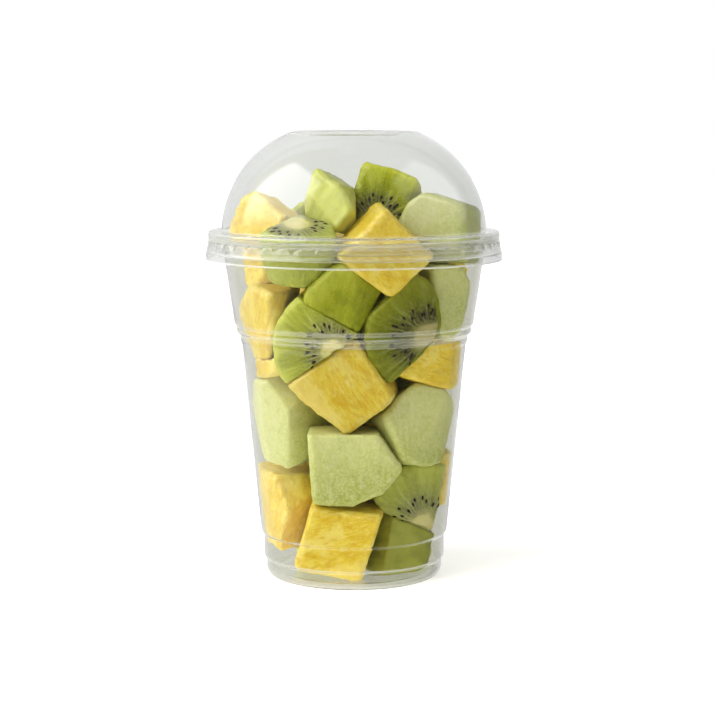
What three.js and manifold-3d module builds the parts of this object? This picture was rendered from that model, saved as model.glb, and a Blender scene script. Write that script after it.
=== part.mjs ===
// A clear cup of cut fruit under a dome lid: pineapple, kiwi and honeydew melon in bite-sized
// pieces. Millimetres, +Z up, origin at the centre of the foot on the table.

import * as THREE from "three";
import { mergeVertices } from "three/addons/utils/BufferGeometryUtils.js";
import Module from "manifold-3d";

const wasm = await Module();
wasm.setup();

// ---- driving dimensions ----
const SHEET = 0.8; // plastic sheet of the cup and the lid
const GAP = 0.35; // between any two pieces
const ROUND = 48; // sides of a full turn

const FOOT = { radius: 30, round: 1.6, floor: 1.8 }; // outside radius, fillet, inside floor
const STEPS = [
  { z: 6.3, out: 0.9 }, // small outward steps above the foot
  { z: 14.8, out: 0.9 },
];
const STEP_RISE = 0.8;
const TAPER = 0.096; // outward lean of the lower wall, mm per mm
const SHOULDER = { from: 80, to: 89, out: 1.9 }; // the wall widens here, so that cups stack
const MOUTH = 43.8; // outside radius of the wall just under the rim
const RIM = { bottom: 110.6, top: 115.6, radius: 47.8, round: 0.9 }; // rolled rim

const DOME = { center: [7.7, 115.7], radius: 37, from: 69, to: 3.5, steps: 9 }; // side arc, degrees
const TOP = { z: 150.5, flat: 18.5, pan: 15.5, depth: 1.2 }; // flat ring round a shallow pan
const FLANGE = { top: 117.3, bottom: 112.6, radius: 49.1, round: 1.2 }; // lid's ring over the rim
const SKIRT = { top: 110.6, bottom: 107.6, radius: 50 }; // lid's flared edge under the ring

const EDGE = 1.1; // knife-softened edges of the fruit
const SHARP_CORNER = 30; // corners that turn by more than this many degrees are softened
const KIWI_RADIUS = 20.5;
const ARC_STEP = 18; // degrees between the corners of a kiwi's round side
const SAME_FACE = 0.9999; // two normals whose cosine is above this belong to one face

const FINISH = {
  cup: { color: 0xe9ecec, roughness: 0.05, metalness: 0 },
  lid: { color: 0xeef1f1, roughness: 0.05, metalness: 0 },
  pineapple: { color: 0xe9c23f, roughness: 0.4, metalness: 0 },
  kiwi: { color: 0x93a62a, roughness: 0.35, metalness: 0 },
  melon: { color: 0xc3cf83, roughness: 0.35, metalness: 0 },
};

// ---- fruit ----
// A cut piece is a slab: an outline [x, z] in its own front plane, `deep` thick, its back face
// `back` times as large. A kiwi slice has an arc [from, to] in degrees round its core, and then
// its other corners. `cuts` are knife cuts, each [x, y, z] of the normal and the distance out.
// `turn` is [spin about Z, tip about X, roll about Y] in degrees, made in that order. Earlier
// pieces keep their whole shape; a later one lies against them, pressed flat where they meet.
const SHOWN = [
  { name: "pineapple_1", outline: [[11.5, 13], [11.7, -8.5], [10, -11], [-8.5, -12.5], [-16.5, 12]],
    deep: 18, at: [-1, -21, 67], turn: [-8, -4, -33] },
  { name: "pineapple_2", outline: [[-11, 9], [11.5, 9], [11, -10], [-10.5, -13]],
    deep: 19, at: [10, -27, 113], turn: [10, -2, 45] },
  { name: "melon_1", outline: [[-14, 12.5], [6, 14], [17, -1], [10, -9.5], [0.5, -13.5], [-12.5, -13]],
    deep: 17, at: [-1, -21.5, 42], turn: [0, 3, 0] },
  { name: "pineapple_3", outline: [[-11, 10.5], [12.5, 12], [9.5, -12], [-13, -12]],
    deep: 15, at: [-4.5, -18.5, 16], turn: [-4, 8, 10] },
  { name: "kiwi_3", outline: [[-13.5, -3], [-11.5, 1], [-3.5, 8.5], [2, 10], [12.5, 1], [4.5, -13.5]],
    cuts: [[0.55, -0.83, -0.05, 9.2]], deep: 18, at: [-3, -25, 100], turn: [0, 6, 0] },
  { name: "kiwi_2", arc: [102, 232], corners: [[3.5, -1.5], [4.5, 3], [3.5, 11], [1, 17]],
    deep: 18, at: [22, -19, 85.5], turn: [14, 4, 0] },
  { name: "kiwi_1", arc: [105, 300], corners: [[12, -8], [10, 5]], deep: 18,
    at: [-4.7, -22.6, 81.5], turn: [-12, 8, 0] },
  { name: "kiwi_4", arc: [62, 159], corners: [[3.2, -3.5]], deep: 14, at: [20.8, -10.5, 20.6],
    turn: [16, 4, 0] },
  { name: "melon_2", outline: [[-12, 12], [2, 15], [17, 0], [2, -17], [-9, -14], [-14, 4]],
    cuts: [[0.66, -0.72, -0.2, 12.5], [0.62, -0.6, 0.5, 9.8]],
    deep: 24, at: [-18.5, -9, 56], turn: [-24, 0, 0] },
  { name: "kiwi_5", arc: [226, 322], corners: [[0, 1]], deep: 18, back: 0.75,
    at: [-17.6, -15.5, 115.6], turn: [0, -67, 0] },
  { name: "melon_3", deep: 20,
    outline: [[-15, -2], [-7, 8], [-3, 10], [7, 8.5], [13.5, 3], [9, -15.5], [6, -18], [-8, -16]],
    at: [20, -13, 56], turn: [22, -14, 0] },
  { name: "pineapple_4", outline: [[-17, 13], [9, 11], [7, -10], [1, -14], [-11, -12], [-16, -3]],
    deep: 22, at: [-18.3, -9, 24.5], turn: [-40, 0, 0] },
  { name: "kiwi_6", outline: [[-9, 12], [14, 11], [10, -5], [7, -8], [-9, -9], [-12, -3]],
    deep: 18, at: [13.5, -10, 11.5], turn: [8, 0, 0] },
  { name: "pineapple_5", outline: [[-10, 10], [13, 8], [14, -3], [11, -8], [1, -7], [-14, -1]],
    deep: 18, at: [22, -12, 73], turn: [28, 0, 0] },
  { name: "melon_4", outline: [[-8, 13], [3, 13], [7, 5], [3, -8], [-2, -13], [-6, -9]],
    deep: 20, at: [29.5, -9, 93.5], turn: [20, 0, 0] },
  { name: "pineapple_6", outline: [[-3, 13], [8, 11], [9, -3], [5, -11], [-4, -12], [-8, -3], [-8, 6]],
    deep: 24, at: [-24, -12, 87.5], turn: [-48, 0, 0] },
  { name: "pineapple_7", outline: [[-6, 5], [6, 5], [6, -5], [-5, -5]],
    deep: 24, at: [-21, -12, 74], turn: [-45, 0, 0] },
  { name: "pineapple_8", outline: [[-11.5, -7.5], [-7.5, 2], [-1.5, 8], [11.5, -1], [13, -8]],
    deep: 15, back: 0.8, at: [-28.8, -12, 123], turn: [-28, -4, 0] },
  { name: "melon_5", outline: [[-10, 0], [-7, 7], [-1, 11], [13, 6], [13, -12], [-7, -12]],
    deep: 22, at: [27, -8.5, 119], turn: [-18, -6, 0] },
  { name: "kiwi_7", outline: [[-3, 20], [8.5, 17], [15.5, 14], [16.5, 10], [13, -7], [-5, -5], [-5.6, 11]],
    deep: 18, at: [6.1, -5, 119.7], turn: [0, -6, 0] },
  { name: "kiwi_8", outline: [[-2, 11.5], [6.5, 5.5], [11, -1.5], [11, -11.5], [3, -9.5], [-6, -5], [-7, -2]],
    deep: 20, back: 0.85, at: [-7, -14, 126.5], turn: [-24, -8, 0] },
  { name: "pineapple_9", outline: [[-6, 9], [6, 9], [5, -9], [-6, -9]],
    deep: 16, at: [27, 4, 32], turn: [20, 0, 0] },
  { name: "pineapple_10", outline: [[-8, 8], [4, 9], [9, -6], [-6, -6]],
    deep: 20, at: [-25, -4, 104], turn: [-60, 0, 0] },
  { name: "pineapple_11", outline: [[-8, 7], [7, 8], [8, -7], [-7, -8]],
    deep: 20, at: [29, 2, 101], turn: [60, 0, 0] },
];

// Behind and between those, more pieces of all three fruits fill the cup in rings. A place is
// [part of the wall's radius, degrees round from the front].
const FILL = {
  levels: [14, 37, 60, 83, 106],
  places: [[0.42, 108], [0.54, 155], [0.54, 205], [0.4, 250], [0, 0]],
  kinds: ["melon", "kiwi", "pineapple"],
  size: [24, 22, 23], // width, thickness, height
  vary: 3, // how far a corner is moved at most, mm
  sway: 14, // how far a piece is tilted at most, degrees
  beat: 2.4, // radians of the uneven wave from one piece to the next
  kiwi: { arc: [0, 180], corners: [[-10, -4], [10, -4]] },
  smallest: 2500, // mm3; a scrap below this is left out
};

// ---- shapes ----
const { degToRad } = THREE.MathUtils;

// A solid of revolution from a closed profile of [radius, z].
function lathe(profile, sides) {
  const closed = [...profile, profile[0]].map(([r, z]) => new THREE.Vector2(r, z));
  return solidOf(new THREE.LatheGeometry(closed, sides).rotateX(Math.PI / 2));
}

function solidOf(geometry) {
  geometry.deleteAttribute("normal");
  geometry.deleteAttribute("uv");
  const merged = mergeVertices(geometry, 1e-4);
  const mesh = new wasm.Mesh({
    numProp: 3,
    vertProperties: new Float32Array(merged.attributes.position.array),
    triVerts: new Uint32Array(merged.index.array),
  });
  return new wasm.Manifold(mesh);
}

function geometryOf(solid) {
  const { vertProperties, triVerts } = solid.getMesh();
  const geometry = new THREE.BufferGeometry();
  geometry.setAttribute("position", new THREE.BufferAttribute(vertProperties, 3));
  geometry.setIndex(new THREE.BufferAttribute(triVerts, 1));
  geometry.computeVertexNormals();
  return geometry;
}

function arc([cx, cz], radius, from, to, steps) {
  const points = [];
  for (let i = 0; i <= steps; i += 1) {
    const a = degToRad(from + ((to - from) * i) / steps);
    points.push([cx + radius * Math.cos(a), cz + radius * Math.sin(a)]);
  }
  return points;
}

// ---- cup and lid ----
// Outside of the cup's wall, from the foot to just under the rim.
function cupOutside() {
  const points = arc([FOOT.radius - FOOT.round, FOOT.round], FOOT.round, -90, 0, 3);
  let radius = FOOT.radius;
  for (const step of STEPS) {
    points.push([radius, step.z - STEP_RISE]);
    radius += step.out;
    points.push([radius, step.z]);
  }
  const below = radius + TAPER * (SHOULDER.from - STEPS.at(-1).z);
  const above = below + SHOULDER.out + TAPER * (SHOULDER.to - SHOULDER.from);
  return [...points, [below, SHOULDER.from], [above, SHOULDER.to], [MOUTH, RIM.bottom]];
}

// Inside of the cup's wall, set in by `inset` from the outside, from the floor up.
function cupInside(inset) {
  const floor = FOOT.floor + inset - SHEET;
  const wall = cupOutside().filter(([, z]) => z > floor + FOOT.round);
  const outline = [[FOOT.radius - FOOT.round, floor], ...wall, [MOUTH, RIM.top - RIM.round]];
  return outline.map(([r, z]) => [r - inset, z]);
}

function cup() {
  const rimCorner = [RIM.radius - RIM.round, RIM.top - RIM.round];
  const rim = [
    [RIM.radius - RIM.round, RIM.bottom],
    [RIM.radius, RIM.bottom + RIM.round],
    ...arc(rimCorner, RIM.round, 0, 90, 2),
    [MOUTH - SHEET + RIM.round, RIM.top],
  ];
  const inside = cupInside(SHEET).reverse();
  return lathe([[0, 0], ...cupOutside(), ...rim, ...inside, [0, FOOT.floor]], ROUND);
}

// Outside of the dome from its top edge down to the flange, set in by `inset`.
function domeSide(inset) {
  return arc(DOME.center, DOME.radius - inset, DOME.from, DOME.to, DOME.steps);
}

function lid() {
  const pan = [
    [0, TOP.z - TOP.depth],
    [TOP.pan - TOP.depth / 2, TOP.z - TOP.depth],
    [TOP.pan, TOP.z],
    [TOP.flat, TOP.z],
  ];
  const flangeCorner = [FLANGE.radius - FLANGE.round, FLANGE.top - FLANGE.round];
  const outside = [
    ...pan,
    ...domeSide(0),
    ...arc(flangeCorner, FLANGE.round, 80, 0, 3),
    [FLANGE.radius, FLANGE.bottom],
    [SKIRT.radius, SKIRT.top],
    [SKIRT.radius, SKIRT.bottom],
  ].reverse();
  const inside = [
    ...pan.map(([r, z]) => [Math.max(0, r - SHEET / 4), z - SHEET]),
    ...domeSide(SHEET),
    [FLANGE.radius - SHEET - FLANGE.round / 2, FLANGE.top - SHEET],
    [FLANGE.radius - SHEET, FLANGE.top - SHEET - FLANGE.round / 2],
    [FLANGE.radius - SHEET, FLANGE.bottom - SHEET / 4],
    [SKIRT.radius - SHEET, SKIRT.top],
    [SKIRT.radius - SHEET, SKIRT.bottom],
  ];
  return lathe([...inside, ...outside], ROUND);
}

// The free room inside the closed cup, a gap clear of its walls.
function room() {
  const dome = domeSide(SHEET + GAP).reverse();
  return lathe([
    [0, FOOT.floor + GAP],
    ...cupInside(SHEET + GAP),
    ...dome,
    [0, dome.at(-1)[1]],
  ], ROUND / 2);
}

// ---- cut pieces ----
function centroid(outline) {
  const sum = outline.reduce(([x, z], p) => [x + p[0], z + p[1]], [0, 0]);
  return sum.map((v) => v / outline.length);
}

// The outline anticlockwise, with each sharp corner cut off by `EDGE` along both of its sides.
function softened(outline) {
  const area = outline.reduce((sum, [x, z], i) => {
    const [nx, nz] = outline[(i + 1) % outline.length];
    return sum + x * nz - nx * z;
  }, 0);
  const ordered = area > 0 ? outline : [...outline].reverse();
  const corners = ordered.map(([x, z]) => new THREE.Vector2(x, z));
  return corners.flatMap((corner, i) => {
    const before = corners.at(i - 1).clone().sub(corner);
    const after = corners[(i + 1) % corners.length].clone().sub(corner);
    const turn = 180 - THREE.MathUtils.radToDeg(before.angleTo(after));
    if (turn < SHARP_CORNER) {
      return [[corner.x, corner.y]];
    }
    return [before, after].map((side) => {
      const point = corner.clone().add(side.setLength(EDGE));
      return [point.x, point.y];
    });
  });
}

function slab({ outline, deep, back = 1 }) {
  const face = softened(outline);
  const [cx, cz] = centroid(face);
  const reach = Math.min(...face.map(([x, z]) => Math.hypot(x - cx, z - cz)));
  const inner = 1 - EDGE / reach;
  const rings = [
    [-deep / 2, inner],
    [-deep / 2 + EDGE, 1],
    [deep / 2 - EDGE, back],
    [deep / 2, back * inner],
  ].map(([y, scale]) => face.map(([x, z]) => [cx + (x - cx) * scale, y, cz + (z - cz) * scale]));
  return ringSolid(rings);
}

// A convex solid through rings of equally many points, front to back.
function ringSolid(rings) {
  const count = rings[0].length;
  const last = (rings.length - 1) * count;
  const index = [];
  for (let k = 1; k < count - 1; k += 1) {
    index.push(0, k, k + 1);
    index.push(last, last + k + 1, last + k);
  }
  for (let ring = 0; ring < last; ring += count) {
    for (let k = 0; k < count; k += 1) {
      const next = (k + 1) % count;
      const [a, b] = [ring + k, ring + next];
      const [c, d] = [b + count, a + count];
      index.push(a, d, c, a, c, b);
    }
  }
  const geometry = new THREE.BufferGeometry();
  geometry.setAttribute("position", new THREE.Float32BufferAttribute(rings.flat(2), 3));
  geometry.setIndex(index);
  return solidOf(geometry);
}

function kiwiOutline({ arc: [from, to], corners = [], radius = KIWI_RADIUS }) {
  const steps = Math.ceil((to - from) / ARC_STEP);
  return [...arc([0, 0], radius, from, to, steps), ...corners];
}

function placed(piece) {
  const outline = piece.arc ? kiwiOutline(piece) : piece.outline;
  let solid = slab({ ...piece, outline });
  for (const [x, y, z, away] of piece.cuts ?? []) {
    solid = solid.trimByPlane([-x, -y, -z], -away);
  }
  const [spin, tip, roll] = piece.turn.map(degToRad);
  const matrix = new THREE.Matrix4()
    .makeRotationFromEuler(new THREE.Euler(tip, roll, spin, "YXZ"))
    .setPosition(...piece.at);
  return solid.transform(matrix.elements);
}

// The pieces of the fill, from the bottom up, not yet named.
function fill() {
  const [width, deep, height] = FILL.size;
  const places = FILL.levels.flatMap((z) => FILL.places.map(([share, angle]) => [share, angle, z]));
  return places.map(([share, angle, z], i) => {
    const kind = FILL.kinds[i % FILL.kinds.length];
    const uneven = (phase) => Math.sin(i * FILL.beat + phase); // from -1 to 1
    const outline = [[-1, 1], [1, 1], [1, -1], [-1, -1]].map(([x, y], k) =>
      [(x * width) / 2 + FILL.vary * uneven(k), (y * height) / 2 + FILL.vary * uneven(k + 4)]);
    const a = degToRad(angle);
    const ring = share * (FOOT.radius + TAPER * z);
    return {
      kind,
      ...(kind === "kiwi" ? FILL.kiwi : { outline }),
      deep,
      at: [ring * Math.sin(a), -ring * Math.cos(a), z],
      turn: [angle + FILL.sway * uneven(1), FILL.sway * uneven(2), 2 * FILL.sway * uneven(3)],
    };
  });
}

// ---- packing ----
// Planes of a solid's faces, each moved out to the solid's farthest point along its normal.
function facePlanes(solid) {
  const { vertProperties, triVerts } = solid.getMesh();
  const points = [];
  for (let i = 0; i < vertProperties.length; i += 3) {
    points.push(new THREE.Vector3().fromArray(vertProperties, i));
  }
  const planes = [];
  for (let i = 0; i < triVerts.length; i += 3) {
    const [a, b, c] = [0, 1, 2].map((k) => points[triVerts[i + k]]);
    const { normal } = new THREE.Plane().setFromCoplanarPoints(a, b, c);
    if (planes.every((plane) => plane.normal.dot(normal) < SAME_FACE)) {
      planes.push({ normal, offset: Math.max(...points.map((p) => p.dot(normal))) });
    }
  }
  return planes;
}

// The solid cut flat where it would touch the neighbour, by the face that takes least away.
function pressedAgainst(solid, neighbour) {
  if (solid.minGap(neighbour.solid, GAP) >= GAP) {
    return solid;
  }
  const cuts = neighbour.planes.map(({ normal, offset }) =>
    solid.trimByPlane(normal.toArray(), offset + GAP));
  return cuts.reduce((best, cut) => (cut.volume() > best.volume() ? cut : best));
}

// Pieces without a name yet are numbered on from the named ones of their kind.
function packed(pieces) {
  const inside = room();
  const settled = [];
  for (const piece of pieces) {
    let solid = placed(piece).intersect(inside);
    for (const neighbour of settled) {
      solid = pressedAgainst(solid, neighbour);
    }
    if (piece.name || solid.volume() > FILL.smallest) {
      const before = settled.filter(({ name }) => name.startsWith(piece.kind)).length;
      const name = piece.name ?? `${piece.kind}_${before + 1}`;
      settled.push({ name, solid, planes: facePlanes(solid) });
    }
  }
  return settled;
}

// ---- the whole ----
function meshOf(name, solid, finish) {
  const mesh = new THREE.Mesh(geometryOf(solid), new THREE.MeshStandardMaterial(finish));
  mesh.name = name;
  return mesh;
}

const group = new THREE.Group();
group.add(meshOf("cup", cup(), FINISH.cup));
group.add(meshOf("lid", lid(), FINISH.lid));
for (const { name, solid } of packed([...SHOWN, ...fill()])) {
  group.add(meshOf(name, solid, FINISH[name.split("_")[0]]));
}

export default group;
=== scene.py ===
"""Looks of a clear cup of cut fruit under a dome lid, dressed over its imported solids.

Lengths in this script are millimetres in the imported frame: +Z up, the cup's axis at x = y = 0,
-Y towards the camera. MM turns them into Blender's metres.
"""

import math

import bmesh
import bpy
import numpy as np
from mathutils import Matrix, Vector, noise
from mathutils.bvhtree import BVHTree


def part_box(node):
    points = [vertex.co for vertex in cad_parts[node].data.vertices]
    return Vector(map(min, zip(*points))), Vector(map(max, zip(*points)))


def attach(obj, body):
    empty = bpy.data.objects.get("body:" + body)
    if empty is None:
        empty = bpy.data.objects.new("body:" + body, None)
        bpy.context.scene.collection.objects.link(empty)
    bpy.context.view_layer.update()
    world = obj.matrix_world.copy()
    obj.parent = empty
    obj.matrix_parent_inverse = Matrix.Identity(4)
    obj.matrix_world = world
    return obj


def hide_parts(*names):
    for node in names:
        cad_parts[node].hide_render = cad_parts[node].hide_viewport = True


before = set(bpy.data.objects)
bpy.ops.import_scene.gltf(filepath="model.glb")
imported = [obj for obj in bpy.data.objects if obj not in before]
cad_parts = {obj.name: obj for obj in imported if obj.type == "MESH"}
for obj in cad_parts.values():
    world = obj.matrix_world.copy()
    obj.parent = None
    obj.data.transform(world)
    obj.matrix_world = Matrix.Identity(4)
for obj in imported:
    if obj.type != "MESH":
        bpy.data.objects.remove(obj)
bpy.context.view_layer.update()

MM = 0.001
SEED = 7

# ---- cup and lid ----
SHEET = 0.45  # thickness of the plastic
SIDES = {"cup": 192, "lid": 336}  # of a full turn
PROFILE_END = 1.5  # a long straight run of a profile gets a point this far from each end
CORNER_STEPS = 5  # steps round a profile's corner

FOOT = {"radius": 30, "round": 1.8, "recess": 1.1, "recess_radius": 26, "recess_slope": 2}
FOOT_CORNERS = {"upper": 0.8, "lower": 0.4}
STEPS = {"heights": (6.3, 14.8), "out": 0.9, "rise": 1.0, "corners": (0.5, 0.55)}
TAPER = 0.096  # how much the wall widens with its height
SHOULDER = {"from": 79, "to": 89, "out": 2.0}
# The beads of the shoulder from its top down: how far outside the wall above it, how far below its
# top and the corner radius, then the same from the wall below and above its bottom.
UPPER_BEADS = [(0, 0, 1.5), (-0.4, 3, 0.6), (-1.2, 4, 0.4), (-1.0, 5.6, 0.4)]
LOWER_BEADS = [(0.5, 2.8, 0.5), (0.6, 1.4, 0.4), (0, 0, 0.5)]
RIM = {"bottom": 110.6, "corner": 1}
CURL = {"center": (45.7, 113.5), "radius": 1.65, "start": -60, "end": 180, "steps": 16}

DOME = {"center": (7.7, 115.7), "radius": 37, "start": 69, "end": 3.5, "steps": 40}
TOP = {"z": 150.5, "flat": 18.5, "pan": 15.5, "depth": 1.2, "flat_corner": 0.8, "pan_corner": 0.5}
FLANGE = {"top": 117.3, "bottom": 113.9, "radius": 49.1, "round": 1.2}
FLANGE_INNER = {"gap": 0.1, "corner": 0.5}  # where the dome stands on the flange
FLANGE_EDGE = 0.1  # corner radius over the lugs
SKIRT_RADIUS = 50
# The skirt from its bend down: how far inside its full radius, height, corner radius.
SKIRT = [(0.35, 110.6, 0.3), (0.05, 110.2, 0.2), (0.1, 108.1, 0.2), (0, 107.6, 0)]
# Lugs pressed into the skirt, each a triangle that points down.
LUGS = {"count": 48, "top": 113.8, "bottom": 111.9, "half_width": 1.5, "depth": 0.9, "rows": 5}
LUG_REACH = 1.01  # share of their height up to which they press, so that their top row moves too

# Milky bands where the sheet is bent or stretched: between two heights, by share.
HAZE = {
    "cup": [
        (-1, 0.9, 0.12),
        (5.5, 6.7, 0.04),
        (81.4, 82.3, 0.07),
        (83.3, 84.3, 0.09),
        (85.2, 86.6, 0.06),
        (110, 116, 0.04),
    ],
    "lid": [(107, 108, 0.18), (110.3, 111, 0.08), (113.6, 117.6, 0.05), (149.2, 151, 0.07)],
}
HAZE_SOFT = 0.3  # over this height a band fades out
# Streaks in the bands: their size, the noise from clear to milky, and the least share of a band.
HAZE_STREAKS = {"size": (20, 20, 0.7), "span": (0.35, 0.65), "least": 0.5}
SHEET_WAVES = {"size": (26, 26, 34), "strength": 0.12, "depth": 1.5, "roughness": 0.03}
# Tints of the sheet: greyer than clear plastic, as painted shade for a dimmer surround seen through it;
# the cup's is also warmer, as painted bounce light from the fruit.
TINTS_AND_PAINTED_LIGHT = {"cup": 0xEEEEE6, "lid": 0xF6F7F5}
STRAIGHT_TINT = (0.97, 0.97, 0.965, 1)  # of light that passes straight through
PLASTIC_IOR = 1.5

# ---- shapes of the fruit ----
WELD = 0.001  # points this close are one
VOXEL = {"shown": 0.5, "rest": 0.72}  # of the remesh, for the pieces in AXES and for the others
SMOOTH_ROUNDS = 2
SMOOTH_STEP = 0.5  # share of the way to the middle of its neighbours that a point moves
EDGE_SHIFT = 0.13  # how far the smoothing moves a full edge
SWELL = 0.28  # closes the gaps between touching pieces
# The relief of the cut faces is a sum of noises. Of each: the size of its features along x, y and z
# of the piece's own frame, how far it stands out on a whole face, and how much more at an edge.
RELIEF = {
    "pineapple": [
        ((7, 7, 7), 0.3, 0),
        ((1.2, 1.2, 5), 0.12, 0),
        ((1.6, 1.6, 2.4), 0, 0.85),
        ((3.2, 3.2, 3.2), 0, 1.2),
    ],
    "melon": [((7, 7, 7), 0.25, 0), ((1.8, 1.8, 1.8), 0.06, 0.25), ((3.2, 3.2, 3.2), 0, 0.7)],
    "kiwi": [((7, 7, 7), 0.22, 0), ((1.8, 1.8, 1.8), 0.06, 0.35), ((3.2, 3.2, 3.2), 0, 0.9)],
}
RAYS = 38  # pale rays round a kiwi's core
RAY_RELIEF = 0.03

# Directions in the imported frame: along a pineapple's fibres, towards a melon's rind side, which is also
# its side in shade (so its greener colour is partly painted shade), and along a kiwi's core. These are
# the pieces that show well from the camera.
AXES = {
    "pineapple_1": (0.5, 0.1, -0.86),
    "pineapple_2": (-0.7, 0.2, 0.7),
    "pineapple_3": (0.97, 0.1, 0.2),
    "pineapple_4": (0.1, 0.2, 0.97),
    "pineapple_5": (0.95, 0.2, -0.3),
    "pineapple_6": (0.2, 0.1, 0.97),
    "melon_1": (0.1, -0.2, -0.97),
    "melon_2": (0.9, 0.3, -0.3),
    "melon_3": (-0.2, 0.3, -0.9),
    "melon_4": (0.4, 0.2, -0.9),
    "melon_5": (0.9, 0.2, -0.4),
    "kiwi_1": (0.21, 0.97, 0.14),
    "kiwi_2": (0.45, 0.85, 0.28),
    "kiwi_3": (0.3, 0.1, 0.95),
    "kiwi_4": (-0.28, 0.96, 0.07),
    "kiwi_5": (0, 0.39, -0.92),
    "kiwi_6": (0.95, 0.1, 0.2),
    "kiwi_7": (0, 0.995, -0.1),
    "kiwi_8": (0.6, 0.1, 0.8),
}
REST_TILT = 0.3  # how far chance turns the axis of any other melon or kiwi piece from outwards

# A point on the core of each kiwi that shows.
CORES = {
    "kiwi_1": (-4.7, -22.6, 81.5),
    "kiwi_2": (24, -28, 84.7),
    "kiwi_3": (-2, -16, 100),
    "kiwi_4": (20.8, -10.5, 20.6),
    "kiwi_5": (-19, -26, 120.9),
    "kiwi_6": (13, 0, 11),
    "kiwi_7": (6.1, -5, 119.7),
    "kiwi_8": (-8, 0, 122),
}
REST_CORE_DROP = 8  # the core of any other kiwi piece lies this far below its middle

# Seeds lie between the pale rays of a slice, in rings round the core and in rows along it.
SEEDLESS = ("kiwi_3", "kiwi_6", "kiwi_8")  # cut from outside the seeds
SEEDS = {
    "rings": (7.3, 9.3),
    "rows": 1.4,
    # How far chance moves a seed off its ring, off its row and, as a share of a ray, round the core.
    "ring_chance": 0.7,
    "row_chance": 0.5,
    "turn_chance": 0.2,
    "size": (0.95, 0.5, 0.36),  # half length, half width, half thickness
    "point": 0.45,  # how much slimmer the end towards the core is
    "reach": 0.7,  # a seed this close to a cut face shows in it
    "sunk": 0.05,
    "missing": 0.15,  # share of the places that hold no seed
    "facing": 0.5,  # only faces that lie across the core show them
}

# ---- colours of the fruit ----
PINEAPPLE = {
    "flesh": [(0.32, 0xDCB714), (0.45, 0xE4C42A), (0.6, 0xEDD548)],  # from deep to pale
    "deep": 0xD6B210,
    "light": 0xF2E078,
    "pore": 0xD0A600,
    "fibre": 0xF8EA90,
    "grain": 0xFBEF9C,
    "froth": 0xF8E898,
    "core_and_lit_side": 0xFFEC8C,
}
# Over this stretch of its own y a pineapple piece turns paler: partly its core side, partly painted
# light.
CORE_AND_LIT_SIDE = (-5, -11)  # over this stretch of its own y a pineapple piece turns paler
MELON = {
    "inner": 0xD0D488,
    "rind_and_shade_side": 0xA2AC44,
    "light": 0xDEDCA0,
    "deep": 0xA4AC50,
    "frost": 0xE8E6B4,
    "edge": 0xDEDE98,
}
# Greener towards the rind side, which on the melons in AXES is also their side in shade: partly painted
# shade.
RIND_AND_SHADE_SIDE = (-6, 22)  # over this stretch towards the rind a melon piece turns greener
RIND_WOBBLE = 12  # which wavers by this much in all
KIWI_RADIUS = 20.5
KIWI = {
    # From the core outwards, by share of the radius.
    "flesh": [
        (0.0, 0xD6CA8C),
        (0.18, 0xCCC080),
        (0.23, 0x8A8850),
        (0.31, 0x4C4A2A),
        (0.43, 0x505018),
        (0.55, 0x808804),
        (0.86, 0xA4AA0E),
        (0.97, 0xBABE3C),
    ],
    "ray": 0xA8AA74,
    "pale_streak": 0xC2C662,
    "deep_streak": 0x6C7400,
    "deep": 0x7C8400,
    "grain": 0xC4C838,
    "edge": 0xB8BA30,
    "pale_green": 0xDCDEA4,
}
OUTER_FLESH = 14  # from this radius outwards a kiwi is plain green
KIWI_WOBBLE = 4  # its rings of colour waver by this much in all
# Radii over which its pale rays start and end, and over which the streaks outside them start.
RAYS_START, RAYS_END, STREAKS_START = (3.5, 6), (15, 8), (6, 11)
ACROSS = (0.35, 0.6)  # from a face that runs along the core to one that lies across it
SEED_COLORS = [(0.3, 0x1A160B), (0.8, 0x332B18)]

# How light the flesh of a piece is, where it isn't 1: on these pieces painted shade below 1 and painted
# light above 1, for how the light falls on each; beyond AXES the other pieces vary by chance.
LIGHT_AND_SHADE_TONES = {
    "pineapple_1": 0.83,
    "pineapple_2": 0.92,
    "pineapple_4": 1.06,
    "pineapple_5": 1.08,
    "pineapple_6": 0.96,
    "pineapple_7": 0.96,
    "melon_2": 1.06,
    "melon_5": 0.82,
    "kiwi_1": 1.1,
    "kiwi_2": 0.66,
    "kiwi_3": 0.9,
    "kiwi_5": 1.2,
    "kiwi_6": 0.7,
    "kiwi_7": 1.15,
    "kiwi_8": 1.12,
}
REST_TONES = (0.92, 1.08)
# How far the flesh of a kiwi piece is mixed towards a pale green, where it is.
PALE = {"kiwi_1": 0.08, "kiwi_4": 0.18, "kiwi_5": 0.16, "kiwi_6": 0.14, "kiwi_8": 0.3}

# ---- camera and light ----
CAMERA = {"at": (1.02, -636.9, 155.7), "pitch": 7.31, "lens": 95.09, "sensor": 36}
CAMERA_RANGE = (50, 50000)
FLOOR = {"radius": 4000, "sides": 96, "drop": 0.05, "glow": 0.45, "roughness": 0.6}
FLOOR_COLORS = [(0.3, 0xF7F7F5), (0.7, 0xFAFAF9)]
# Soft suns light the fruit; azimuth from the camera's side, + to the right.
SUNS = {
    "key": {"az": -65, "el": 38, "strength": 2.35, "spread": 50},
    "top": {"az": -20, "el": 70, "strength": 0.9, "spread": 80},
}
# Only the wet fruit mirrors this one.
GLINT = {"az": -35, "el": 42, "strength": 2.2, "spread": 14}
# Upright softboxes that only show as reflections in the plastic.
PANELS = {
    "softbox": {"az": -78, "bottom": 120, "far": 1000, "size": (1560, 1860), "power": 44},
    "side_box": {"az": 84, "bottom": 120, "far": 1000, "size": (1600, 1850), "power": 13},
}
PANEL_EDGE = 0.32  # from this share of its size off its middle a panel fades out
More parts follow.
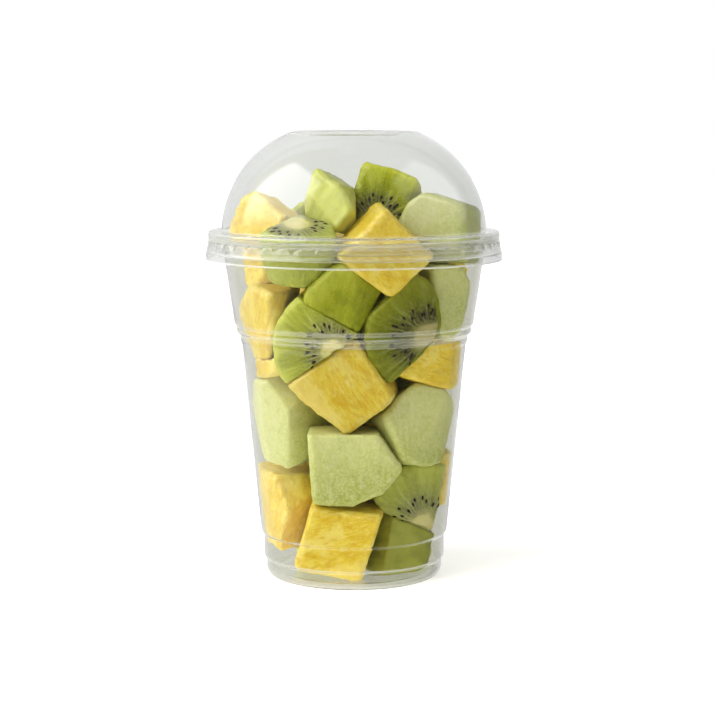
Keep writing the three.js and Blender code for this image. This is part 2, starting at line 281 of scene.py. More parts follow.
# Brightness of the surround: as backdrop, as fill light, and seen through the plastic towards the
# table or the horizon. Mirrored, it is bright behind and below the cup, most on the left, and dim
# above and towards the camera.
SURROUND = {"backdrop": 1.0, "fill": 0.36, "table": 0.82, "horizon": 0.97, "bright": 0.87, "dim": 0.06}
TABLE_DROP = 0.24  # how steeply down the view is on the table
SURROUND_SIDE = (-0.5, 0.75, 0)
SURROUND_BELOW = 1.2  # how much straight down adds to that
SURROUND_TURN = (0, 0.7)  # from dim to bright
BOUNCES = {
    "max_bounces": 24,
    "diffuse_bounces": 4,
    "glossy_bounces": 12,
    "transmission_bounces": 16,
    "transparent_max_bounces": 24,
}
BOUNCED_LIMIT = 4  # brightest sample of bounced light


# ---- meshes ----
def new_object(name, data):
    made = bpy.data.objects.new(name, data)
    bpy.context.scene.collection.objects.link(made)
    return made


def with_modifier(piece, kind, **settings):
    """The piece's mesh with one modifier applied, shaded smooth."""
    modifier = piece.modifiers.new(kind.lower(), kind)
    for key, value in settings.items():
        setattr(modifier, key, value)
    graph = bpy.context.evaluated_depsgraph_get()
    mesh = bpy.data.meshes.new_from_object(piece.evaluated_get(graph))
    piece.modifiers.clear()
    piece.data = mesh
    mesh.shade_smooth()
    return mesh


def coordinates(mesh):
    points = np.empty(len(mesh.vertices) * 3, np.float32)
    mesh.vertices.foreach_get("co", points)
    return points.reshape(-1, 3)


def normals(mesh):
    directions = np.empty(len(mesh.vertices) * 3, np.float32)
    mesh.vertex_normals.foreach_get("vector", directions)
    return directions.reshape(-1, 3)


def set_coordinates(mesh, points):
    mesh.vertices.foreach_set("co", points.astype(np.float32).ravel())
    mesh.update()


def store(mesh, name, values):
    """Keeps one number for each point of the mesh, for its material to read."""
    attribute = mesh.attributes.new(name, "FLOAT", "POINT")
    attribute.data.foreach_set("value", values.astype(np.float32))


# ---- cup and lid ----
def rounded(profile):
    """[r, z] points along a profile of (r, z, corner radius), its corners turned into curves."""
    points = [Vector(profile[0][:2])]
    for before, corner, after in zip(profile, profile[1:], profile[2:]):
        tip = Vector(corner[:2])
        start = tip + (Vector(before[:2]) - tip).normalized() * corner[2]
        end = tip + (Vector(after[:2]) - tip).normalized() * corner[2]
        if corner[2] == 0:
            points.append(tip)
            continue
        for i in range(CORNER_STEPS + 1):
            t = i / CORNER_STEPS
            points.append(start.lerp(tip, t).lerp(tip.lerp(end, t), t))
    points.append(Vector(profile[-1][:2]))
    return points


def stepped(points):
    """The same profile with a point near each end of a long run, so that its middle shades flat."""
    made = [points[0]]
    for a, b in zip(points, points[1:]):
        length = (b - a).length
        if length > 2 * PROFILE_END:
            made += [a.lerp(b, PROFILE_END / length), b.lerp(a, PROFILE_END / length)]
        made.append(b)
    return made


def arc(center, radius, start, end, steps):
    """Points of a profile along an arc, from one angle to another in degrees."""
    angles = [math.radians(start + (end - start) * i / steps) for i in range(steps + 1)]
    return [(center[0] + radius * math.cos(a), center[1] + radius * math.sin(a), 0) for a in angles]


def revolved(name, profile, sides, dent=None):
    """A sheet of plastic turned about Z. The profile runs down the outside; dent moves it in."""
    sheet = bmesh.new()
    rings = []
    for r, z in stepped(rounded(profile)):
        if r == 0:
            rings.append([sheet.verts.new((0, 0, z * MM))] * sides)
            continue
        ring = []
        for i in range(sides):
            angle = 2 * math.pi * i / sides
            reach = r - (dent(angle, z) if dent else 0)
            point = Vector((reach * math.cos(angle), reach * math.sin(angle), z))
            ring.append(sheet.verts.new(point * MM))
        rings.append(ring)
    for upper, lower in zip(rings, rings[1:]):
        for i in range(sides):
            j = (i + 1) % sides
            # At the axis two of the four corners are the same point.
            corners = dict.fromkeys([upper[i], lower[i], lower[j], upper[j]])
            sheet.faces.new(corners)
    mesh = bpy.data.meshes.new(name)
    sheet.to_mesh(mesh)
    sheet.free()
    piece = new_object(name, mesh)
    with_modifier(piece, "SOLIDIFY", thickness=SHEET * MM, offset=-1, use_even_offset=True)
    return piece


def cup_profile():
    """From the end of the rim's curl down the wall to the middle of the foot."""
    wall = [(CURL["center"][0] - CURL["radius"], RIM["bottom"], RIM["corner"])]
    radius = FOOT["radius"]
    steps = []
    for z in STEPS["heights"]:
        steps.append((radius, z - STEPS["rise"], STEPS["corners"][0]))
        radius += STEPS["out"]
        steps.append((radius, z, STEPS["corners"][1]))
    below = radius + TAPER * (SHOULDER["from"] - STEPS["heights"][-1])
    above = below + SHOULDER["out"] + TAPER * (SHOULDER["to"] - SHOULDER["from"])
    shoulder = [(above + out, SHOULDER["to"] - drop, corner) for out, drop, corner in UPPER_BEADS]
    shoulder += [(below + out, SHOULDER["from"] + rise, corner) for out, rise, corner in LOWER_BEADS]
    foot = [
        (FOOT["radius"], FOOT["round"], FOOT_CORNERS["upper"]),
        (FOOT["radius"] - FOOT["round"] / 2, 0, FOOT_CORNERS["lower"]),
        (FOOT["recess_radius"] + FOOT["recess_slope"], 0, FOOT_CORNERS["lower"]),
        (FOOT["recess_radius"], FOOT["recess"], FOOT_CORNERS["upper"]),
        (0, FOOT["recess"], 0),
    ]
    return arc(**CURL) + wall + shoulder + steps[::-1] + foot


def lid_profile():
    """From the middle of the top down the dome, over the flange to the skirt's edge."""
    top = [
        (0, TOP["z"] - TOP["depth"], 0),
        (TOP["pan"] - TOP["depth"] / 2, TOP["z"] - TOP["depth"], TOP["pan_corner"]),
        (TOP["pan"], TOP["z"], TOP["pan_corner"]),
        (TOP["flat"], TOP["z"], TOP["flat_corner"]),
    ]
    dome = arc(**DOME)
    flange = [
        (dome[-1][0] + FLANGE_INNER["gap"], FLANGE["top"], FLANGE_INNER["corner"]),
        (FLANGE["radius"], FLANGE["top"], FLANGE["round"]),
        (FLANGE["radius"], FLANGE["bottom"], FLANGE_EDGE),
    ]
    skirt = [(SKIRT_RADIUS - inside, z, corner) for inside, z, corner in SKIRT]
    bend_radius, bend_z, _ = skirt[0]
    lug_rows = []
    for i in range(LUGS["rows"] + 1):
        z = LUGS["top"] - (LUGS["top"] - LUGS["bottom"]) * i / LUGS["rows"]
        share = (FLANGE["bottom"] - z) / (FLANGE["bottom"] - bend_z)
        lug_rows.append((FLANGE["radius"] + (bend_radius - FLANGE["radius"]) * share, z, 0))
    return top + dome + flange + lug_rows + skirt


def lug_dent(angle, z):
    """How far the lugs press the skirt inwards here."""
    up = (z - LUGS["bottom"]) / (LUGS["top"] - LUGS["bottom"])
    if not 0 < up < LUG_REACH:
        return 0
    pitch = 2 * math.pi / LUGS["count"]
    along = ((angle + pitch / 2) % pitch - pitch / 2) * FLANGE["radius"]
    return LUGS["depth"] * up * max(0, 1 - abs(along) / (LUGS["half_width"] * up))


# ---- fruit ----
def kind_of(node):
    return node.split("_")[0]


def placing(node):
    """Where a piece's own frame stands: its Z is along fibres or core, or towards the rind, which on the
    melons in AXES is also the side in shade.
    """
    low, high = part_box(node)
    middle = (low + high) / 2
    outward = Vector((middle.x, middle.y, 0)).normalized()
    rng = np.random.default_rng([SEED, *node.encode()])
    chance = Vector(rng.normal(size=3)).normalized()
    fallback = chance if kind_of(node) == "pineapple" else outward + REST_TILT * chance
    axis = Vector(AXES.get(node, fallback)).normalized()
    origin = middle
    if node in CORES:
        origin = Vector(CORES[node]) * MM
    elif kind_of(node) == "kiwi":
        origin = middle - Vector((0, 0, REST_CORE_DROP * MM))
    return Matrix.Translation(origin) @ axis.to_track_quat("Z", "Y").to_matrix().to_4x4()


def weld(mesh):
    """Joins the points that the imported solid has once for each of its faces."""
    whole = bmesh.new()
    whole.from_mesh(mesh)
    bmesh.ops.remove_doubles(whole, verts=whole.verts, dist=WELD * MM)
    whole.to_mesh(mesh)
    whole.free()


def edge_ends(mesh):
    """The points at the ends of each edge, once from each end."""
    edges = np.empty(len(mesh.edges) * 2, np.int32)
    mesh.edges.foreach_get("vertices", edges)
    return np.concatenate([edges[0::2], edges[1::2]]), np.concatenate([edges[1::2], edges[0::2]])


def drop_scraps(mesh):
    """Keeps the largest body where the remesh leaves loose scraps of a piece's thin edges."""
    ends, others = edge_ends(mesh)
    body = np.arange(len(mesh.vertices))
    while True:
        lowest = body.copy()
        np.minimum.at(lowest, ends, body[others])
        lowest = lowest[lowest]
        if (lowest == body).all():
            break
        body = lowest
    largest = np.bincount(body).argmax()
    whole = bmesh.new()
    whole.from_mesh(mesh)
    scraps = [vert for vert, own in zip(whole.verts, body) if own != largest]
    bmesh.ops.delete(whole, geom=scraps, context="VERTS")
    whole.to_mesh(mesh)
    whole.free()


def smoothed(mesh):
    """Smooths the mesh and gives how far each point moved inwards, which is most at its edges."""
    points = coordinates(mesh)
    start = points.copy()
    ends, others = edge_ends(mesh)
    count = np.bincount(ends, minlength=len(points))[:, None]
    for _ in range(SMOOTH_ROUNDS):
        total = [np.bincount(ends, weights=points[others, k], minlength=len(points)) for k in range(3)]
        points = points + SMOOTH_STEP * (np.stack(total, 1) / count - points)
    set_coordinates(mesh, points)
    return ((start - points) * normals(mesh)).sum(1) / MM


def relief(kind, point, edge):
    """How far the surface of a cut piece stands out at a point of its own frame."""
    x, y, z = point
    height = SWELL
    for size, on_face, at_edge in RELIEF[kind]:
        wave = noise.noise(Vector((x / size[0], y / size[1], z / size[2])))
        height += (on_face + at_edge * edge) * wave
    if kind == "kiwi":
        height += RAY_RELIEF * math.cos(RAYS * math.atan2(y, x))
    return height


def fruit_piece(node, shown):
    """One piece of fruit, its solid remeshed finely in the piece's own frame and given relief."""
    kind = kind_of(node)
    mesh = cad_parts[node].data.copy()
    weld(mesh)
    place = placing(node)
    mesh.transform(place.inverted())
    mesh.materials.clear()
    piece = new_object(f"{node}_cut", mesh)
    voxel = VOXEL["shown" if shown else "rest"] * MM
    mesh = with_modifier(piece, "REMESH", mode="VOXEL", voxel_size=voxel)
    mesh.name = piece.name
    drop_scraps(mesh)
    edge = np.clip(smoothed(mesh) / EDGE_SHIFT, 0, 1)
    points = coordinates(mesh)
    own_points = points / MM
    out = [relief(kind, point, e) for point, e in zip(own_points.tolist(), edge.tolist())]
    set_coordinates(mesh, points + normals(mesh) * np.array(out, np.float32)[:, None] * MM)
    own = mesh.attributes.new("own_point", "FLOAT_VECTOR", "POINT")
    own.data.foreach_set("vector", own_points.ravel())
    chance = np.random.default_rng([SEED, 2, *node.encode()]).uniform(*REST_TONES)
    # Painted shade or painted light for the listed pieces, tone by chance for the others.
    tone = LIGHT_AND_SHADE_TONES.get(node, 1 if shown else chance)
    store(mesh, "edge", edge)
    store(mesh, "across", np.abs(normals(mesh)[:, 2]))
    store(mesh, "tone", np.full(len(points), tone))
    store(mesh, "pale", np.full(len(points), PALE.get(node, 0)))
    mesh.materials.append(FLESH[kind])
    if kind == "kiwi" and node not in SEEDLESS:
        add_seeds(piece, node)
    mesh.transform(place)
    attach(piece, "root")
    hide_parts(node)
    return piece


def seed_mesh(place):
    """A teardrop seed, its point towards the core."""
    seed = bmesh.new()
    bmesh.ops.create_icosphere(seed, subdivisions=1, radius=1)
    length, width, thickness = SEEDS["size"]
    for vert in seed.verts:
        x, y, z = vert.co
        waist = 1 - SEEDS["point"] * max(0, -x)
        vert.co = Vector((x * length, y * width * waist, z * thickness * waist)) * MM
    seed.transform(place)
    for face in seed.faces:
        face.material_index = 1
        face.smooth = True
    mesh = bpy.data.meshes.new("seed")
    seed.to_mesh(mesh)
    seed.free()
    return mesh


def add_seeds(piece, node):
    """Seeds wherever a ring of them meets the piece's surface."""
    rng = np.random.default_rng([SEED, 1, *node.encode()])
    mesh = piece.data
    whole = bmesh.new()
    whole.from_mesh(mesh)
    surface = BVHTree.FromBMesh(whole)
    heights = coordinates(mesh)[:, 2] / MM
    low, high = math.floor(heights.min()), math.ceil(heights.max())
    for row in np.arange(low, high + SEEDS["rows"], SEEDS["rows"]):
        for i in range(RAYS):
            turn = i + 0.5 + rng.uniform(-SEEDS["turn_chance"], SEEDS["turn_chance"])
            radius = SEEDS["rings"][i % 2] + rng.uniform(-SEEDS["ring_chance"], SEEDS["ring_chance"])
            height = row + rng.uniform(-SEEDS["row_chance"], SEEDS["row_chance"])
            angle = 2 * math.pi * turn / RAYS
            spoke = Vector((math.cos(angle), math.sin(angle), 0))
            wanted = (spoke * radius + Vector((0, 0, height))) * MM
            found, normal, _, distance = surface.find_nearest(wanted)
            hidden = distance > SEEDS["reach"] * MM or abs(normal.z) < SEEDS["facing"]
            if hidden or rng.uniform() < SEEDS["missing"]:
                continue
            length = (spoke - normal * spoke.dot(normal)).normalized()
            width = normal.cross(length)
            lie = Matrix((length, width, normal)).transposed().to_4x4()
            seed = seed_mesh(Matrix.Translation(found - normal * SEEDS["sunk"] * MM) @ lie)
            whole.from_mesh(seed)
            bpy.data.meshes.remove(seed)
    whole.to_mesh(mesh)
    whole.free()
    mesh.materials.append(SEED_COAT)


# ---- node trees ----
def linear(hexadecimal):
    """Linear RGBA of an sRGB colour."""
    channels = [(hexadecimal >> shift & 255) / 255 for shift in (16, 8, 0)]
    return [c / 12.92 if c <= 0.04045 else ((c + 0.055) / 1.055) ** 2.4 for c in channels] + [1]


class Graph:
    """Short ways to add nodes to a node tree. Most give the socket of their result."""

    def __init__(self, tree):
        self.tree = tree

    def feed(self, socket, value):
        """Links the socket to the value, or sets it where the value is a number or colour."""
        if isinstance(value, bpy.types.NodeSocket):
            self.tree.links.new(value, socket)
        else:
            socket.default_value = value

    def add(self, kind, inputs=None, **settings):
        """A new node, fed by the name or place of its inputs. Gives its outputs."""
        made = self.tree.nodes.new(kind)
        for key, value in settings.items():
            setattr(made, key, value)
        for key, value in (inputs or {}).items():
            self.feed(made.inputs[key], value)
        return made.outputs

    def math(self, operation, a, b=0.0):
        return self.add("ShaderNodeMath", {0: a, 1: b}, operation=operation)[0]

    def plus(self, a, b):
        return self.math("ADD", a, b)

    def minus(self, a, b):
        return self.math("SUBTRACT", a, b)

    def times(self, a, b):
        return self.math("MULTIPLY", a, b)

    def dot(self, a, b):
        return self.add("ShaderNodeVectorMath", {0: a, 1: b}, operation="DOT_PRODUCT")["Value"]

    def scaled(self, vector, factors):
        return self.add("ShaderNodeVectorMath", {0: vector, 1: factors}, operation="MULTIPLY")[0]

    def combine(self, x, y, z):
        return self.add("ShaderNodeCombineXYZ", {"X": x, "Y": y, "Z": z})[0]

    def parts(self, vector):
        """The three parts of a vector."""
        return self.add("ShaderNodeSeparateXYZ", {0: vector})

    def graded(self, value, span, low, high, kind="SMOOTHSTEP"):
        """From low to high while the value runs over the span."""
        inputs = {"Value": value, "From Min": span[0], "From Max": span[1], "To Min": low, "To Max": high}
        return self.add("ShaderNodeMapRange", inputs, interpolation_type=kind)[0]

    def ease(self, value, start, end):
        """0 at start, 1 at end, eased between; start may be above end."""
        if start < end:
            return self.graded(value, (start, end), 0.0, 1.0)
        return self.graded(value, (end, start), 1.0, 0.0)

    def chosen(self, share, a, b):
        """One number where the share is 0, the other where it is 1."""
        return self.add("ShaderNodeMix", {0: share, 2: a, 3: b})[0]


class Paint(Graph):
    """A new material and short ways to add textures and colours to it."""

    def __init__(self, name):
        self.material = bpy.data.materials.new(name)
        self.material.use_nodes = True
        super().__init__(self.material.node_tree)
        self.shader = self.tree.nodes["Principled BSDF"]

    def point(self):
        """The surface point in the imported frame, in millimetres."""
        return self.scaled(self.add("ShaderNodeTexCoord")["Object"], (1 / MM, 1 / MM, 1 / MM))

    def own_point(self):
        """The surface point in a cut piece's own frame, in millimetres."""
        return self.add("ShaderNodeAttribute", attribute_name="own_point")["Vector"]

    def attribute(self, name):
        """A number that store() kept."""
        return self.add("ShaderNodeAttribute", attribute_name=name)["Fac"]

    def noise(self, vector, size, detail=2.0, roughness=0.5, output="Fac"):
        """Noise from 0 to 1 whose features are size mm apart along x, y and z."""
        inputs = {
            "Vector": self.scaled(vector, tuple(1 / s for s in size)),
            "Scale": 1.0,
            "Detail": detail,
            "Roughness": roughness,
        }
        return self.add("ShaderNodeTexNoise", inputs)[output]

    def warped(self, vector, size, amount):
        """The vector moved by noise, by 0 to amount along each axis."""
        push = self.noise(vector, size, output="Color")
        inputs = {0: push, 1: (amount, amount, amount), 2: vector}
        return self.add("ShaderNodeVectorMath", inputs, operation="MULTIPLY_ADD")[0]

    def ramp(self, value, stops):
        """The colour at a value, between stops of (value, colour)."""
        made = self.tree.nodes.new("ShaderNodeValToRGB")
        entries = made.color_ramp.elements
        while len(entries) < len(stops):
            entries.new(1)
        for entry, (place, color) in zip(entries, stops):
            entry.position = place
            entry.color = linear(color)
        self.feed(made.inputs[0], value)
        return made.outputs[0]

    def mix(self, share, a, b):
        """From one colour where the share is 0 to the other where it is 1."""
        return self.add("ShaderNodeMix", {0: share, 6: a, 7: b}, data_type="RGBA")[2]

    def tinted(self, color, where, share, tint):
        """The colour with a tint over it, as strong as the share where the mask is 1."""
        return self.mix(self.times(where, share), color, linear(tint))

    def shaded_and_toned(self, color):
        """The colour scaled by the piece's number: painted shade below 1 and painted light above 1 on the
        listed pieces, tone by chance on the others.
        """
        inputs = {0: color, "Scale": self.attribute("tone")}
        return self.add("ShaderNodeVectorMath", inputs, operation="SCALE")[0]

    def bump(self, height, strength, distance):
        inputs = {"Height": height, "Strength": strength, "Distance": distance * MM}
        self.feed(self.shader.inputs["Normal"], self.add("ShaderNodeBump", inputs)[0])

    def finish(self, **inputs):
        """Feeds the shader and gives the material."""
        for key, value in inputs.items():
            self.feed(self.shader.inputs[key.replace("_", " ")], value)
        return self.material


# ---- materials ----
def pineapple_flesh():
    """Juicy yellow with fine fibres along Z, deeper cells and frothy edges, paler on one side: partly the
    core side, partly painted light.
    """
    g = Paint("pineapple_flesh")
    point = g.warped(g.own_point(), (6, 6, 12), 1.6)
    fibres = g.noise(point, (0.7, 0.7, 7), roughness=0.6)
    cells = g.noise(point, (2.6, 2.6, 5))
    pores = g.noise(point, (1.3, 1.3, 3), detail=0)
    clouds = g.noise(point, (8, 8, 10))
    grain = g.noise(point, (0.5, 0.5, 0.9), roughness=0.6)
    froth = g.times(g.attribute("edge"), g.ease(grain, 0.35, 0.6))
    core_and_lit_side = g.ease(g.parts(point)[1], *CORE_AND_LIT_SIDE)
    color = g.ramp(g.plus(g.times(fibres, 0.3), g.times(cells, 0.7)), PINEAPPLE["flesh"])
    color = g.tinted(color, g.ease(clouds, 0.52, 0.38), 0.3, PINEAPPLE["deep"])
    color = g.tinted(color, g.ease(clouds, 0.5, 0.64), 0.5, PINEAPPLE["light"])
    color = g.tinted(color, g.ease(pores, 0.56, 0.74), 0.5, PINEAPPLE["pore"])
    color = g.tinted(color, g.ease(fibres, 0.52, 0.7), 0.2, PINEAPPLE["fibre"])
    color = g.tinted(color, g.ease(grain, 0.48, 0.7), 0.2, PINEAPPLE["grain"])
    color = g.tinted(color, froth, 0.6, PINEAPPLE["froth"])
    # Paler on one side: partly the core side, partly painted light.
    color = g.tinted(color, core_and_lit_side, 0.5, PINEAPPLE["core_and_lit_side"])
    height = g.plus(g.times(fibres, 0.35), g.times(cells, 0.6))
    g.bump(g.plus(height, g.times(grain, 0.5)), 0.3, 0.3)
    return g.finish(
        Base_Color=g.shaded_and_toned(color),
        Roughness=g.plus(0.26, g.times(fibres, 0.3)),
        Specular_IOR_Level=0.35,
        Subsurface_Weight=0.3,
        Subsurface_Radius=(1.0, 0.95, 0.25),
        Subsurface_Scale=2.5 * MM,
    )


def melon_flesh():
    """Pale green that deepens towards the rind, which on the melons in AXES is also their shaded side
    (partly painted shade), with a frosty grain and faint veins.
    """
    g = Paint("melon_flesh")
    point = g.own_point()
    grain = g.noise(point, (0.7, 0.7, 0.7), roughness=0.6)
    mottle = g.noise(point, (2.2, 2.2, 2.2))
    clouds = g.noise(point, (9, 9, 9))
    veins = g.noise(g.warped(point, (5, 5, 5), 3), (1.2, 7, 10))
    # Greener towards the rind side, on the melons in AXES also painted shade on their shaded side.
    rind_and_shade_side = g.ease(g.plus(g.parts(point)[2], g.times(clouds, RIND_WOBBLE)), *RIND_AND_SHADE_SIDE)
    color = g.mix(rind_and_shade_side, linear(MELON["inner"]), linear(MELON["rind_and_shade_side"]))
    color = g.tinted(color, g.ease(mottle, 0.42, 0.66), 0.3, MELON["light"])
    color = g.tinted(color, g.ease(mottle, 0.46, 0.3), 0.22, MELON["deep"])
    color = g.tinted(color, g.ease(grain, 0.42, 0.66), 0.35, MELON["frost"])
    color = g.tinted(color, g.ease(veins, 0.58, 0.7), 0.25, MELON["frost"])
    color = g.tinted(color, g.attribute("edge"), 0.4, MELON["edge"])
    g.bump(g.plus(g.times(grain, 0.6), g.plus(mottle, veins)), 0.4, 0.3)
    return g.finish(
        Base_Color=g.shaded_and_toned(color),
        Roughness=g.plus(0.26, g.times(grain, 0.25)),
        Specular_IOR_Level=0.3,
        Subsurface_Weight=0.35,
        Subsurface_Radius=(1.0, 1.0, 0.4),
        Subsurface_Scale=3 * MM,
    )


def kiwi_flesh():
    """Cream core, dark seed pockets between pale rays, then clear green out to a paler rim."""
    g = Paint("kiwi_flesh")
    point = g.own_point()
    fine = g.noise(point, (0.7, 0.7, 1.5), roughness=0.6)
    clouds = g.noise(point, (5, 5, 5))
    x, y, _ = g.parts(g.warped(point, (3, 3, 5), 0.8))
    radius = g.math("SQRT", g.plus(g.times(x, x), g.times(y, y)))
    turn = g.times(g.math("ARCTAN2", y, x), RAYS)
    rays = g.times(g.plus(g.math("COSINE", turn), 1), 0.5)
    spoke = g.combine(g.math("DIVIDE", x, radius), g.math("DIVIDE", y, radius), radius)
    streaks = g.noise(spoke, (0.11, 0.11, 10))
    across = g.ease(g.attribute("across"), *ACROSS)
    # Faces that run along the core have the tone of the flesh outside the seeds.
    outside = g.times(g.minus(1, across), g.minus(OUTER_FLESH, radius))
    depth = g.plus(radius, g.math("MAXIMUM", outside, 0))
    wavering = g.plus(depth, g.times(g.minus(clouds, 0.5), KIWI_WOBBLE))
    color = g.ramp(g.math("DIVIDE", wavering, KIWI_RADIUS), KIWI["flesh"])
    inner = g.times(g.ease(radius, *RAYS_START), g.ease(radius, *RAYS_END))
    broken = g.times(g.ease(rays, 0.4, 1), g.ease(streaks, 0.3, 0.55))
    color = g.tinted(color, g.times(g.times(broken, inner), across), 0.6, KIWI["ray"])
    outer = g.times(across, g.ease(radius, *STREAKS_START))
    color = g.tinted(color, g.times(outer, g.ease(streaks, 0.5, 0.68)), 0.4, KIWI["pale_streak"])
    color = g.tinted(color, g.times(outer, g.ease(streaks, 0.5, 0.34)), 0.4, KIWI["deep_streak"])
    color = g.tinted(color, g.ease(clouds, 0.5, 0.35), 0.35, KIWI["deep"])
    color = g.tinted(color, g.ease(fine, 0.45, 0.68), 0.3, KIWI["grain"])
    color = g.tinted(color, g.attribute("edge"), 0.3, KIWI["edge"])
    color = g.mix(g.attribute("pale"), color, linear(KIWI["pale_green"]))
    g.bump(g.plus(fine, g.times(rays, 0.3)), 0.4, 0.3)
    return g.finish(
        Base_Color=g.shaded_and_toned(color),
        Roughness=g.plus(0.24, g.times(fine, 0.25)),
        Specular_IOR_Level=0.3,
        Subsurface_Weight=0.25,
        Subsurface_Radius=(0.9, 1.0, 0.15),
        Subsurface_Scale=2.5 * MM,
    )


def seed_coat():
    g = Paint("kiwi_seed")
    shine = g.noise(g.point(), (0.5, 0.5, 0.5))
    return g.finish(
        Base_Color=g.ramp(shine, SEED_COLORS),
        Roughness=g.plus(0.3, g.times(shine, 0.2)),
        Specular_IOR_Level=0.25,
    )


def clear_plastic(name, tint, haze):
    """Clear sheet that lets lamplight and bounced light straight through to the fruit."""
    g = Paint(name)
    waves = g.noise(g.point(), SHEET_WAVES["size"], detail=1, roughness=0.4)
    g.bump(waves, SHEET_WAVES["strength"], SHEET_WAVES["depth"])
    z = g.parts(g.point())[2]
    streaks = g.ease(g.noise(g.point(), HAZE_STREAKS["size"], detail=1), *HAZE_STREAKS["span"])
    milk = 0.0
    for low, high, share in haze:
        band = g.times(g.ease(z, low - HAZE_SOFT, low), g.ease(z, high + HAZE_SOFT, high))
        milk = g.plus(g.times(band, share), milk)
    milk = g.times(milk, g.plus(streaks, HAZE_STREAKS["least"]))
    g.finish(
        # The tint carries painted shade and, on the cup, painted bounce light.
        Base_Color=linear(tint),
        Transmission_Weight=g.minus(1.0, milk),
        IOR=PLASTIC_IOR,
        Roughness=g.plus(g.times(waves, SHEET_WAVES["roughness"]), milk),
    )
    path = g.add("ShaderNodeLightPath")
    straight = g.math("MAXIMUM", path["Is Shadow Ray"], path["Is Diffuse Ray"])
    through = g.add("ShaderNodeBsdfTransparent", {"Color": STRAIGHT_TINT})[0]
    either = g.add("ShaderNodeMixShader", {0: straight, 1: g.shader.outputs[0], 2: through})[0]
    g.feed(g.tree.nodes["Material Output"].inputs["Surface"], either)
    return g.material


def floor_paint():
    g = Paint("floor_paint")
    return g.finish(
        Base_Color=g.ramp(g.noise(g.point(), (3, 3, 3)), FLOOR_COLORS),
        Roughness=FLOOR["roughness"],
        Emission_Color=(1, 1, 1, 1),
        Emission_Strength=FLOOR["glow"],
    )


# ---- stage ----
def towards(azimuth, elevation):
    """Unit vector from the cup, azimuth from the camera's side, + to the right."""
    a, e = math.radians(azimuth), math.radians(elevation)
    return Vector((math.sin(a) * math.cos(e), -math.cos(a) * math.cos(e), math.sin(e)))


def add_sun(name, az, el, strength, spread):
    lamp = bpy.data.lights.new(name, "SUN")
    lamp.energy = strength
    lamp.angle = math.radians(spread)
    made = new_object(name, lamp)
    made.rotation_euler = towards(az, el).to_track_quat("Z", "Y").to_euler()
    made.visible_camera = False
    made.visible_glossy = False
    made.visible_transmission = False
    return made


def add_glint(pieces):
    """A lamp for the shine of the fruit alone, so that the plastic stays clear of it."""
    wet = bpy.data.collections.new("wet")
    for piece in pieces:
        wet.objects.link(piece)
    made = add_sun("glint", **GLINT)
    made.visible_glossy = True
    made.visible_diffuse = False
    made.light_linking.receiver_collection = wet


def fade_edges(lamp):
    """Lets the light of a panel fall off towards its edges."""
    lamp.use_nodes = True
    g = Graph(lamp.node_tree)
    place = g.add("ShaderNodeNewGeometry")["Parametric"]
    strength = 1.0
    for along in g.parts(place)[:2]:
        off_middle = g.math("ABSOLUTE", g.minus(along, 0.5))
        strength = g.times(g.ease(off_middle, 0.5, PANEL_EDGE), strength)
    g.feed(g.tree.nodes["Emission"].inputs["Strength"], strength)


def add_panel(name, az, bottom, far, size, power):
    """An upright panel of light that only the plastic's mirror images show."""
    lamp = bpy.data.lights.new(name, "AREA")
    lamp.shape = "RECTANGLE"
    lamp.size, lamp.size_y = (s * MM for s in size)
    lamp.energy = power
    fade_edges(lamp)
    made = new_object(name, lamp)
    away = towards(az, 0)
    made.location = (away * far + Vector((0, 0, bottom + size[1] / 2))) * MM
    made.rotation_euler = away.to_track_quat("Z", "Y").to_euler()
    made.visible_camera = False
    made.visible_diffuse = False
    made.visible_transmission = False


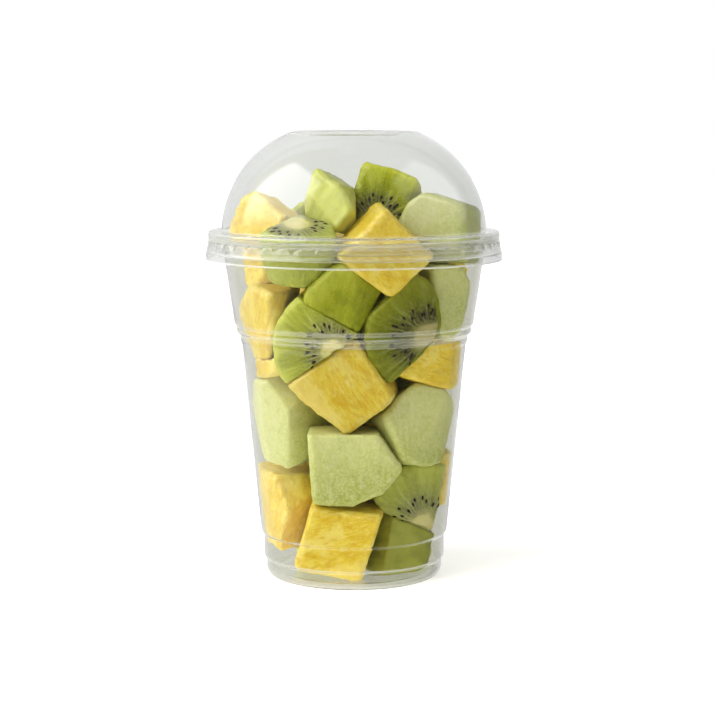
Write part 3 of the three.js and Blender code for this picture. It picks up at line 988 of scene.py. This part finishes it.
def add_surround():
    """A white surround, which the plastic shows evenly and mirrors bright or dim by direction."""
    world = bpy.data.worlds.new("surround")
    world.use_nodes = True
    bpy.context.scene.world = world
    g = Graph(world.node_tree)
    direction = g.add("ShaderNodeTexCoord")["Generated"]
    path = g.add("ShaderNodeLightPath")
    height = g.parts(direction)[2]
    seen = g.graded(height, (-TABLE_DROP, 0), SURROUND["table"], SURROUND["horizon"], "LINEAR")
    drop = g.math("MINIMUM", height, 0)
    below = g.times(g.times(drop, drop), SURROUND_BELOW)
    turn = g.plus(g.dot(direction, SURROUND_SIDE), below)
    # Light that the plastic has mirrored more than once comes from all round, so it is less dim.
    mirrors = path["Glossy Depth"]
    dim = g.times(g.times(mirrors, mirrors), SURROUND["dim"])
    dim = g.math("MINIMUM", dim, SURROUND["bright"])
    mirrored = g.graded(turn, SURROUND_TURN, dim, SURROUND["bright"])
    through = g.chosen(g.math("MINIMUM", mirrors, 1), seen, mirrored)
    indirect = g.chosen(path["Is Diffuse Ray"], through, SURROUND["fill"])
    strength = g.chosen(path["Is Camera Ray"], indirect, SURROUND["backdrop"])
    background = g.tree.nodes["Background"]
    g.feed(background.inputs["Color"], (1, 1, 1, 1))
    g.feed(background.inputs["Strength"], strength)


def add_floor():
    disc = bmesh.new()
    bmesh.ops.create_circle(disc, cap_ends=True, radius=FLOOR["radius"] * MM, segments=FLOOR["sides"])
    mesh = bpy.data.meshes.new("floor")
    disc.to_mesh(mesh)
    disc.free()
    mesh.materials.append(floor_paint())
    floor = new_object("floor", mesh)
    floor.location.z = -FLOOR["drop"] * MM
    floor.visible_glossy = False
    floor.visible_transmission = False


def add_camera():
    data = bpy.data.cameras.new("camera")
    data.lens = CAMERA["lens"]
    data.sensor_width = CAMERA["sensor"]
    data.clip_start, data.clip_end = (limit * MM for limit in CAMERA_RANGE)
    camera = new_object("camera", data)
    camera.location = Vector(CAMERA["at"]) * MM
    camera.rotation_euler = (math.radians(90 - CAMERA["pitch"]), 0, 0)
    bpy.context.scene.camera = camera


def set_rendering():
    scene = bpy.context.scene
    scene.view_settings.view_transform = "Standard"
    scene.cycles.use_denoising = True
    scene.cycles.sample_clamp_indirect = BOUNCED_LIMIT
    for key, limit in BOUNCES.items():
        setattr(scene.cycles, key, limit)


# ---- the whole ----
FLESH = {"pineapple": pineapple_flesh(), "melon": melon_flesh(), "kiwi": kiwi_flesh()}
SEED_COAT = seed_coat()

fruit_nodes = [node for node in sorted(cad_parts) if kind_of(node) in FLESH]
fruit = [fruit_piece(node, node in AXES) for node in fruit_nodes]

plastics = {
    "cup": revolved("cup_clear", cup_profile(), SIDES["cup"]),
    "lid": revolved("lid_clear", lid_profile(), SIDES["lid"], lug_dent),
}
for node, piece in plastics.items():
    piece.data.materials.append(clear_plastic(f"{node}_plastic", TINTS_AND_PAINTED_LIGHT[node], HAZE[node]))
    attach(piece, "root")
    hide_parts(node)

add_floor()
add_surround()
for name, settings in SUNS.items():
    add_sun(name, **settings)
add_glint(fruit)
for name, settings in PANELS.items():
    add_panel(name, **settings)
add_camera()
set_rendering()
